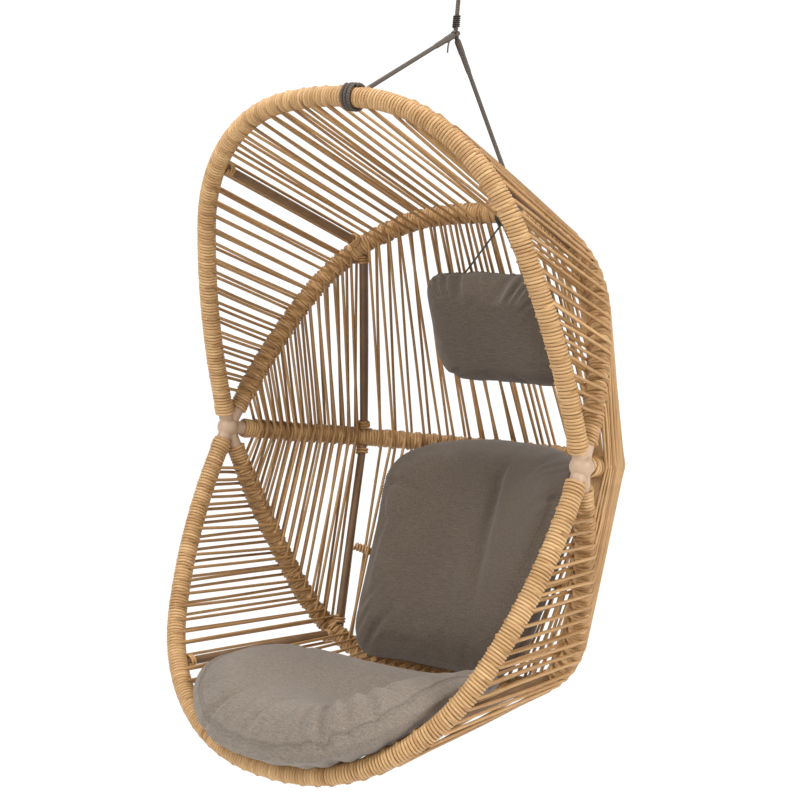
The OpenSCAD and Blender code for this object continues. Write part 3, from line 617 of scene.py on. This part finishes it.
def strand_layer(label, panel, side, phase):
    """Taut strands of a panel from hoop a to hoop b on one side of both, with a curl round the hoop at
    each end: side is 1 outside and -1 inside."""
    a, b, mouths, ties = panel
    layer = "outer" if side > 0 else "inner"
    step = 2 / STRANDS
    q = -1 + (np.arange(STRANDS + 1) + phase) * step
    q = q[np.abs(q) <= STRAND_END]
    if side < 0:
        q = q[np.abs(np.abs(q) - RIB_SHARE) > RIB_ROOM]
    for hoop, x, half in ties:
        q = q[np.abs(hoop.at(q)[:, 0] - x) > half]
    qa = q + dice.normal(0, STEP_SPREAD, len(q)) * step
    qb = q + dice.normal(0, STEP_SPREAD, len(q)) * step
    pa, pb = a.at(qa), b.at(qb)
    line = unit(pb - pa)
    way_a, way_b = a.way_at(qa), b.way_at(qb)
    out_a, out_b = side * unit(np.cross(way_a, line)), side * unit(np.cross(way_b, line))
    on_a = -unit(line - np.sum(line * way_a, -1, keepdims=True) * way_a)
    on_b = unit(line - np.sum(line * way_b, -1, keepdims=True) * way_b)
    first = curl(a, qa, out_a, on_a, mouths[0], side)[:, ::-1]
    last = curl(b, qb, out_b, on_b, mouths[1], -side)
    t = np.linspace(0, 1, 9)[None, 1:-1, None]
    bow = np.sin(np.pi * t) * dice.normal(0, BOW_SPREAD, (len(q), 1, 3))
    middle = first[:, -1:] * (1 - t) + last[:, :1] * t + bow
    paths = np.concatenate([first, middle, last], 1)
    radius = CANE_R * (1 + dice.normal(0, 0.02, len(q)))[:, None]
    tint = dice.normal(0, TINT_SPREAD, len(q))
    piece = tubes(f"{label}_{layer}_canes", paths, radius, 8, way_a[:, None], tint)
    if side > 0:
        return dress(piece, strand_cane, "chair", "wicker_strand", f"{label}_outer_strands")
    # The inner layer takes the darker cane, which paints the shade inside the shell.
    return dress(piece, painted_shade_inner_cane, "chair", "wicker_strand_inner", f"{label}_inner_strands")


# Where a tie leaves the strands out: the hoop, x, and half the width
FRONT_TIE = (UPPER, 0.060, 0.020)
REAR_TIE = (CROWN, 0.105, 0.020)
PILLOW_TIE = (CROWN, 0.060, 0.009)
# Each panel: its hoops, whether each is a mouth hoop, its ties, and the shift of its inner layer in steps
PANELS = {
    "roof": ((UPPER, CROWN, (True, False), [FRONT_TIE, REAR_TIE, PILLOW_TIE]), 0.4),
    "upper_back": ((CROWN, WAIST, (False, False), [REAR_TIE, PILLOW_TIE]), 0.6),
    "lower_back": ((WAIST, BASE, (False, False), []), 0.4),
    "seat": ((BASE, LOWER, (False, True), []), 0.6),
}
for label, (panel, inner_phase) in PANELS.items():
    strand_layer(label, panel, 1, 0.0)
    strand_layer(label, panel, -1, inner_phase)

BINDING_START = 0.028  # of the middle of a binding, from the hoop
BINDING_REACH = RIB_R + 0.0024
BINDING_PITCH = 0.0056
BINDING_TURNS = 2.5


def rib_bindings():
    """Turns of cane round each end of each rib, where it is bound to its hoop."""
    paths = []
    for a, b, *_ in [panel for panel, _ in PANELS.values()]:
        for q in (-RIB_SHARE, RIB_SHARE):
            for p, r in ((a.at(q), b.at(q)), (b.at(q), a.at(q))):
                way = unit(r - p)
                centre, side = p + BINDING_START * way, np.cross(way, (0.3, 0.5, 0.8))
                coil = ring_coil(centre, way, side, BINDING_REACH, BINDING_PITCH, BINDING_TURNS, 20)
                paths.append(coil)
    up = np.array([p[-1] - p[0] for p in paths])[:, None]
    tint = dice.normal(0, TINT_SPREAD, len(paths))
    return tubes("rib_bindings", np.array(paths), BINDING_R, 8, up, tint)


dress(rib_bindings(), strand_cane, "chair", "wicker_strand")

LUMBAR_TURNS = 92
LUMBAR_REACH = 0.0064
LUMBAR_CORE_R = 0.0050
LUMBAR_SHARE = 0.55  # of the way from the waist hoop to the base hoop


def lumbar_winding():
    """Cane wound round the bent lumbar bar, and the bar inside it."""
    steps = 16
    end = RIB_SHARE - (RIB_R + 0.0015) / WAIST.half_length
    a = np.linspace(0, 2 * np.pi * LUMBAR_TURNS, LUMBAR_TURNS * steps + 1)
    q = end * (2 * a / a[-1] - 1)
    bar = (1 - LUMBAR_SHARE) * WAIST.at(q) + LUMBAR_SHARE * BASE.at(q)
    way = unit(np.gradient(bar, axis=0))
    side = unit(np.cross(way, (0.0, 0.0, 1.0)))
    around = np.cos(a)[:, None] * side + np.sin(a)[:, None] * np.cross(way, side)
    shade = np.repeat(dice.normal(0, SHADE_SPREAD, LUMBAR_TURNS + 1), steps)[: len(a)]
    points, quads, caps, uv = tube_grid(
        (bar + LUMBAR_REACH * around)[None], BINDING_R, 8, around[None]
    )
    piece = make_mesh("lumbar_winding", points, quads, caps, uv, np.repeat(shade, 8))
    core = tubes("lumbar_core", bar[::steps], LUMBAR_CORE_R, 12, (0, 0, 1))
    dress(core, frame_paint, "chair", "wicker_wrap")
    dress(piece, wrap_cane, "chair", "wicker_wrap", "lumbar_bar")


lumbar_winding()

# ---- Ties round the hoops ----


def tie_coil(name, tie, cord_r, pitch, turns):
    """Turns of cord round a hoop, at a tie's x."""
    hoop, x, _ = tie
    s = math.asin(x / hoop.top) * hoop.top
    way = hoop.way(s)
    out = unit(hoop.along(s) - CHAIR)
    out = unit(out - (out @ way) * way)
    coil = ring_coil(hoop.along(s), way, out, WRAP_R + cord_r + 2 * SEAT_GAP, pitch, turns, 24)
    return tubes(name, coil, cord_r, 10, way)


for label, tie in (("front_lashing", FRONT_TIE), ("rear_lashing", REAR_TIE)):
    lashing = tie_coil(f"{label}_cord", tie, LASHING_R, 0.0073, 3)
    dress(lashing, rope_cord, "chair", "rope", label)
pillow_loop = tie_coil("pillow_tie_cord", PILLOW_TIE, STRING_R, 0.0043, 2)
dress(pillow_loop, pillow_string, "head_pad", "pillow_cord", "pillow_tie")

# ---- Cushions ----

SIDE_PULL = 0.045  # how far a cushion's sides are drawn in at their middles
FOLD_INSET = 0.12  # how far a fold draws the outline in, as a share of its depth over the thickness
UNDER_FOLD = 0.4  # depth of a fold in the underside, as a share of that in the top
PRESSURE = 4.0
SEAM_WIDTH = 0.0035
SEAM_DEPTH = 0.0028
STITCH_GAP = 0.0055
STITCH_HALF = 0.0019
STITCH_R = 0.00055
STITCH_SHIFT = 0.0045  # from the seam
# Height of the widest ring as a share of the thickness, roundness of the upper and of the lower
# corners, flatness of the underside
SEAT_FORM = (0.15, 0.8, 0.8, 8)
BACK_FORM = (0.42, 0.52, 0.42, 8)
PILLOW_FORM = (0.42, 0.38, 0.62, 3)


def panel_point(a, b, q, t, height):
    """Point on a panel at share q across and t from hoop a to hoop b, raised inwards by a height."""
    t = np.asarray(t)[..., None]
    pa, pb = a.at(q), b.at(q)
    way = (1 - t) * a.way_at(q) + t * b.way_at(q)
    out = unit(np.cross(way, pb - pa))
    return (1 - t) * pa + t * pb - np.asarray(height)[..., None] * out


def cushion_outline(angle, upper, lower):
    """Rounded oblong with drawn-in sides, as shares of the half sizes."""
    c, s = np.cos(angle), np.sin(angle)
    corner = np.where(s > 0, lower, upper)
    pull = 1 - SIDE_PULL * np.cos(2 * angle) ** 2
    return pull * np.sign(c) * np.abs(c) ** corner, pull * np.sign(s) * np.abs(s) ** corner


def cushion_shell(name, place, thick, form, folds, hollow, seam_rise):
    """A stuffed shell: rings from the middle of its underside out to the seam and back to the middle of
    its top. place(x, y, height) sets a point of the oblong; folds(rho, angle) is a depth,
    hollow(x, y) the share of the thickness that the top has lost, and seam_rise the rings from the
    widest one up to the seam."""
    sectors, rings = 150, 34
    seam_share, upper, lower, flatness = form
    spread = np.sin(np.linspace(0, np.pi / 2, rings + 1)[1:])
    angle = np.linspace(0, 2 * np.pi, sectors, endpoint=False)
    rows = []
    for top in (False, True):
        rho = spread if not top else spread[:-1][::-1]
        rho, ang = np.meshgrid(rho, angle, indexing="ij")
        x, y = cushion_outline(ang, upper, lower)
        if top:
            height = seam_share + (1 - seam_share) * np.sqrt(np.maximum(0, 1 - rho**3.2))
        else:
            height = seam_share * rho**flatness
        depth = folds(rho, ang)
        if top:
            height = height * (1 - hollow(rho * x, rho * y))
        height = height * thick + (-depth if top else UNDER_FOLD * depth)
        inset = 1 - FOLD_INSET * depth / thick
        rows.append(place(rho * x * inset, rho * y * inset, height))
    grid = np.concatenate(rows)
    centre = np.zeros(1)
    heights = (centre, thick * (1 - hollow(centre, centre)))
    middles = np.stack([place(centre, centre, h)[0] for h in heights])
    points = np.concatenate([grid.reshape(-1, 3), middles])
    n, m = grid.shape[:2]
    i, k = np.meshgrid(np.arange(n - 1), np.arange(m), indexing="ij")
    j = (k + 1) % m
    quads = np.stack([i * m + k, i * m + j, (i + 1) * m + j, (i + 1) * m + k], -1)
    low, high, last = n * m, n * m + 1, (n - 1) * m
    caps = [[low, (k + 1) % m, k] for k in range(m)]
    caps += [[high, last + k, last + (k + 1) % m] for k in range(m)]
    return make_mesh(name, points, quads, caps), grid[rings - 1 + seam_rise]


def scattered(seed, count, depth, inner):
    """Rows of creases at scattered angles: angle, width, depth, where it starts, how it bends, and the
    share of it that is left at the seam."""
    pick = np.random.default_rng(seed)
    rows = []
    for _ in range(count):
        turn, width = 360 * pick.random(), pick.uniform(1.4, 3.6)
        deep, start = depth * pick.uniform(0.3, 1.0), pick.uniform(inner, 0.8)
        rows.append((turn, width, deep, start, pick.normal(0, 0.2), 0.35))
    return rows


def creases(rows):
    """Creases that run in from the seam: a trough between two low ridges, which fades inwards."""

    def folds(rho, angle):
        total = np.zeros_like(rho)
        for turn, width, depth, start, bend, left in rows:
            off = (angle - math.radians(turn) - bend * (1 - rho) + np.pi) % (2 * np.pi) - np.pi
            u = np.abs(off) * np.maximum(rho, 0.3) / math.radians(width)
            near_seam = np.clip((rho - 0.86) / 0.14, 0, 1)
            fade = np.clip((rho - start) / 0.25, 0, 1) ** 0.8 * (1 - (1 - left) * near_seam)
            total += depth * fade * (np.exp(-(u**2)) - 0.3 * np.exp(-((u - 1.9) ** 2)))
        return total

    return folds


def stuff(piece, voxel, cap):
    """Blows the shell up a little as cloth, limits how far each point moves, and smooths it."""
    scene = bpy.context.scene
    frames = 20
    remesh = piece.modifiers.new("even", "REMESH")
    remesh.mode = "VOXEL"
    remesh.voxel_size = voxel
    remesh.use_smooth_shade = True
    settle(piece)
    before = read_points(piece)
    cloth = piece.modifiers.new("cloth", "CLOTH")
    s = cloth.settings
    s.quality = 5
    s.mass = 0.25
    s.tension_stiffness = 12
    s.compression_stiffness = 12
    s.shear_stiffness = 8
    s.bending_stiffness = 0.4
    s.use_pressure = True
    s.uniform_pressure_force = PRESSURE
    s.effector_weights.gravity = 0
    cloth.collision_settings.use_collision = False
    cloth.point_cache.frame_start = 1
    cloth.point_cache.frame_end = frames
    for step in range(1, frames + 1):
        scene.frame_set(step)
        bpy.context.view_layer.update()
    settle(piece)
    scene.frame_set(1)
    move = read_points(piece) - before
    far = np.linalg.norm(move, axis=1, keepdims=True)
    write_points(piece, before + move * np.minimum(1, cap / np.maximum(far, 1e-9)))
    piece.modifiers.new("round", "SUBSURF").levels = 1
    settle(piece)
    piece.data.polygons.foreach_set("use_smooth", np.ones(len(piece.data.polygons), bool))


def settle(piece):
    """Turns what the modifiers make into the piece's own mesh."""
    made = piece.evaluated_get(bpy.context.evaluated_depsgraph_get())
    shape = bpy.data.meshes.new_from_object(made)
    old = piece.data
    piece.modifiers.clear()
    piece.data = shape
    bpy.data.meshes.remove(old)


def read_points(piece):
    points = np.zeros(len(piece.data.vertices) * 3, np.float32)
    piece.data.vertices.foreach_get("co", points)
    return points.reshape(-1, 3)


def write_points(piece, points):
    piece.data.vertices.foreach_set("co", np.asarray(points, np.float32).ravel())
    piece.data.update()


def on_surface(piece, points):
    """The nearest points of a piece's surface, and its normals there."""
    tree = BVHTree.FromObject(piece, bpy.context.evaluated_depsgraph_get())
    hits = [tree.find_nearest(Vector(p)) for p in points]
    return np.array([h[0] for h in hits]), np.array([h[1] for h in hits])


def loop_points(path, gap):
    """Points spaced by a gap along a closed path."""
    closed = np.concatenate([path, path[:1]])
    run = np.concatenate([[0], np.cumsum(np.linalg.norm(np.diff(closed, axis=0), axis=1))])
    at = np.linspace(0, run[-1], max(8, int(run[-1] / gap)), endpoint=False)
    return np.stack([np.interp(at, run, closed[:, i]) for i in range(3)], -1)


def press_seam(piece, seam):
    """Sinks a groove into a piece along a closed line, which is taken a part at a time."""
    line = loop_points(seam, 0.004)
    points = read_points(piece)
    normals = np.zeros(len(points) * 3, np.float32)
    piece.data.vertices.foreach_get("normal", normals)
    from_line = np.full(len(points), 9.0)
    for start in range(0, len(line), 60):
        part = line[start : start + 60]
        far = np.linalg.norm(points[:, None] - part[None], axis=2).min(1)
        from_line = np.minimum(from_line, far)
    groove = SEAM_DEPTH * np.exp(-((from_line / SEAM_WIDTH) ** 2))[:, None]
    write_points(piece, points - groove * normals.reshape(-1, 3))


def stitches(name, piece, line, shift, material, body, slot_name):
    """A row of short stitches on a piece, beside its seam: each a small tube that lies on the cloth."""
    spots = loop_points(line, STITCH_GAP)
    way = unit(np.roll(spots, -1, 0) - np.roll(spots, 1, 0))
    _, normal = on_surface(piece, spots)
    beside = unit(np.cross(normal, way))
    spots, normal = on_surface(piece, spots + shift * beside)
    t = np.linspace(-1, 1, 4)[None, :, None]
    rise = 0.0005 - 0.0006 * t**2
    paths = spots[:, None] + STITCH_HALF * t * way[:, None] + rise * normal[:, None]
    return dress(tubes(name, paths, STITCH_R, 5, normal[:, None]), material, body, slot_name)


def on_panel(a, b, half, shift, t0, t1, taper, rear_share, base, droop):
    """A cushion's place on the inside of a panel: it narrows and thins from front to rear, and its
    raised side hangs over the front edge by a droop."""

    def place(x, y, height):
        back = (1 - y) / 2
        q = shift + half * x * (1 - taper * back)
        t = t1 - (t1 - t0) * back + droop * height * (1 - back) ** 2
        return panel_point(a, b, q, t, base + height * (1 - (1 - rear_share) * back))

    return place


seat_place = on_panel(BASE, LOWER, 0.470, 0.042, 0.2, 1.135, 0.15, 0.53, 0.0205, 0)
back_place = on_panel(WAIST, BASE, 0.352, 0.02, 0, 1.04, -0.15, 1, 0.0235, 0.45)
crown_apex = CROWN.along(0.0)
pillow_down = unit(WAIST.along(0.0) - crown_apex)
pillow_in = np.array([0, pillow_down[2], -pillow_down[1]])
PILLOW_X = 0.06
PILLOW_HALF = (0.153, 0.1270)
PILLOW_FLARE = 0.06  # how much wider the lower half is
PILLOW_DROP = 0.2020
PILLOW_STAND = 0.012


def pillow_place(x, y, height):
    """The pillow's place, square to the line from the crown hoop down to the waist hoop."""
    across = PILLOW_HALF[0] * x * (1 + PILLOW_FLARE * (1 + y))
    depth = WRAP_R + 2 * CANE_R + SEAT_GAP + PILLOW_STAND + height + across**2
    return (
        crown_apex
        + np.stack([PILLOW_X + across, 0 * x, 0 * x], -1)
        + (PILLOW_DROP + PILLOW_HALF[1] * y)[..., None] * pillow_down
        + depth[..., None] * pillow_in
    )


def pad(label, shell, voxel, cap, material, slot_name, body):
    """A finished cushion and its seam: shell holds what cushion_shell takes after the name."""
    piece, seam = cushion_shell(f"{label}_cloth", *shell)
    stuff(piece, voxel, cap)
    seam, _ = on_surface(piece, loop_points(seam, 0.006))
    press_seam(piece, seam)
    dress(piece, material, body, slot_name, label)
    return piece, seam


def seat_hollow(x, y):
    """The place where one sits, and the fuller rim round its front."""
    dish = np.exp(-(((x - 0.26) / 0.50) ** 2) - ((y + 0.10) / 0.45) ** 2)
    rim = np.exp(-(((np.hypot(x, y) - 0.76) / 0.2) ** 2)) * np.clip(y + 0.45, 0, 1)
    return 0.62 * dish - (0.13 + 0.1 * x) * rim


def back_hollow(x, y):
    """A long soft crease that slants down from the middle of the top edge."""
    from_line = (x + 0.02) * 0.95 - (y + 0.85) * 0.27
    crease = 0.15 * np.exp(-((from_line / 0.042) ** 2)) * np.clip(0.75 - y, 0, 1)
    return crease - 0.02 * np.exp(-(((from_line + 0.14) / 0.08) ** 2))


def no_hollow(x, y):
    return 0 * x


# Rows of a cushion's own creases: angle, width, depth, where it starts, how it bends, and the share of
# it that is left at the seam
SEAT_CREASES = [
    (113, 1.9, 0.012, 0.55, 0.25, 1),
    (102, 1.5, 0.006, 0.45, 0.1, 0.3),
    (96, 1.4, 0.009, 0.40, 0.05, 0.2),
    (89, 1.6, 0.007, 0.52, -0.1, 0.3),
    (83, 1.4, 0.009, 0.40, -0.25, 0.2),
    (76, 1.9, 0.013, 0.40, -0.3, 1),
    (68, 1.6, 0.008, 0.42, -0.35, 0.2),
    (59, 1.7, 0.009, 0.36, -0.45, 0.3),
    (128, 2.0, 0.006, 0.58, 0.3, 0.4),
    (47, 2.0, 0.006, 0.48, -0.3, 0.3),
]
PILLOW_CREASES = [(turn, 2.6, 0.012, 0.66, 0, 1) for turn in range(226, 320, 12)]

seat_folds = creases(SEAT_CREASES + scattered(3, 6, 0.005, 0.6))
back_folds = creases(scattered(5, 16, 0.006, 0.5))
pillow_folds = creases(PILLOW_CREASES + scattered(9, 12, 0.005, 0.55))
seat_shell = (seat_place, 0.108, SEAT_FORM, seat_folds, seat_hollow, 6)
back_shell = (back_place, 0.105, BACK_FORM, back_folds, back_hollow, 0)
pillow_shell = (pillow_place, 0.100, PILLOW_FORM, pillow_folds, no_hollow, 0)

seat_pad, seat_seam = pad(
    "seat_cushion", seat_shell, 0.0050, 0.006, seat_cloth, "seat_fabric", "seat_pad"
)
back_pad, back_seam = pad(
    "back_cushion", back_shell, 0.0058, 0.006, back_cloth, "back_fabric", "back_pad"
)
head_pad, head_seam = pad(
    "head_pillow", pillow_shell, 0.0050, 0.005, back_cloth, "back_fabric", "head_pad"
)
SEAT_RIDE = (seat_cloth, "seat_pad", "seat_fabric")
stitches("seat_stitches_upper", seat_pad, seat_seam, STITCH_SHIFT, *SEAT_RIDE)
stitches("seat_stitches_lower", seat_pad, seat_seam, -STITCH_SHIFT, *SEAT_RIDE)
stitches("back_stitches", back_pad, back_seam, STITCH_SHIFT, back_cloth, "back_pad", "back_fabric")
stitches("head_stitches", head_pad, head_seam, STITCH_SHIFT, back_cloth, "head_pad", "back_fabric")

# ---- Finishes of the frame's own parts ----

for node_name in nodes:
    if node_name.endswith("_hub"):
        finish = hub_paint_and_painted_light
    elif node_name.endswith("_ribs"):
        finish = rib_paint_and_painted_shade
    elif node_name.endswith("_tube"):
        finish = frame_paint
    elif node_name == "thrust_bearing":
        finish = bronze
    elif node_name.startswith(("swivel_", "jaw_", "link_")) or node_name == "rope_thimble":
        finish = steel
    elif node_name == "rope_eye":
        finish = rope_cord
    else:
        continue
    for slot in nodes[node_name].material_slots:
        slot.material = finish

# ---- First points of the cord paths, taken and not used ----

tuple(main_path[0])
tuple(front_path[0])
tuple(rear_path[0])
tuple(tail_path[0])
tuple(left_path[0])
tuple(right_path[0])

# ---- Floor, backdrop and light ----


def studio_sweep():
    """A floor that curves up into a backdrop: a profile across the depth, carried along the width."""
    floor, radius, back = -2.25, 2.0, 5.0
    half_width, top = 9.0, 6.0
    bend = np.linspace(0, np.pi / 2, 24)
    depth = np.concatenate([[-half_width], back - radius + radius * np.sin(bend), [back]])
    height = np.concatenate([[floor], floor + radius - radius * np.cos(bend), [top]])
    turn = math.radians(39)
    width = np.array([-half_width, half_width])
    d, w = np.meshgrid(depth, width, indexing="ij")
    h = np.broadcast_to(height[:, None], d.shape)
    c, s = math.cos(turn), math.sin(turn)
    points = np.stack([w * c - d * s, w * s + d * c, h], -1)
    i = np.arange(len(depth) - 1)
    quads = np.stack([2 * i, 2 * i + 1, 2 * i + 3, 2 * i + 2], -1)
    return make_mesh("studio_sweep", points.reshape(-1, 3), quads)


def paper_finish():
    """Pale paper that looks white to the camera and in reflections, and is lit as paper elsewhere."""
    f = Finish("pale_paper", Base_Color=(0.9, 0.9, 0.9, 1), Roughness=0.9)
    camera_ray = f.node("ShaderNodeLightPath", {}, out="Is Camera Ray")
    glossy_ray = f.node("ShaderNodeLightPath", {}, out="Is Glossy Ray")
    seen = f.node("ShaderNodeMath", {"operation": "MAXIMUM"}, camera_ray, glossy_ray)
    glow = f.node("ShaderNodeEmission", {}, Color=(1, 1, 1, 1), Strength=1.12)
    paper = Value(f, f.shader.outputs[0])
    both = f.node("ShaderNodeMixShader", {}, seen * 0.85, paper, glow)
    f.tree.links.new(both.socket, f.tree.nodes["Material Output"].inputs["Surface"])
    return f.material


sweep = studio_sweep()
sweep.data.materials.append(paper_finish())

# The camera sees the world brighter than the pieces do
WORLD_STRENGTH = 0.32
SEEN_STRENGTH = 1.0
world = bpy.data.worlds.new("studio")
world.use_nodes = True
world_nodes, world_links = world.node_tree.nodes, world.node_tree.links
background = world_nodes["Background"]
background.inputs["Color"].default_value = (1, 1, 1, 1)
ray = world_nodes.new("ShaderNodeLightPath")
strength = world_nodes.new("ShaderNodeMapRange")
strength.inputs["To Min"].default_value = WORLD_STRENGTH
strength.inputs["To Max"].default_value = SEEN_STRENGTH
world_links.new(ray.outputs["Is Camera Ray"], strength.inputs["Value"])
world_links.new(strength.outputs["Result"], background.inputs["Strength"])
bpy.context.scene.world = world


def lamp(name, place, target, size, power):
    light = bpy.data.lights.new(name, "AREA")
    light.shape = "SQUARE"
    light.size = size
    light.energy = power
    made = bpy.data.objects.new(name, light)
    made.location = place
    made.rotation_euler = (Vector(target) - Vector(place)).to_track_quat("-Z", "Y").to_euler()
    bpy.context.scene.collection.objects.link(made)


lamp("key_light", (-0.9, -3.4, 1.5), (0, 0, -1.0), 1.1, 104)
lamp("side_light", (3.3, 0.2, 0.2), (0, 0, -1.1), 1.3, 92)
lamp("top_light", (0.0, -0.7, 2.2), (0, 0, -1.0), 1.4, 70)
lamp("low_light", (0.8, -2.4, -2.15), (0, 0, -1.5), 1.2, 22)

bpy.context.scene.view_settings.view_transform = "Standard"
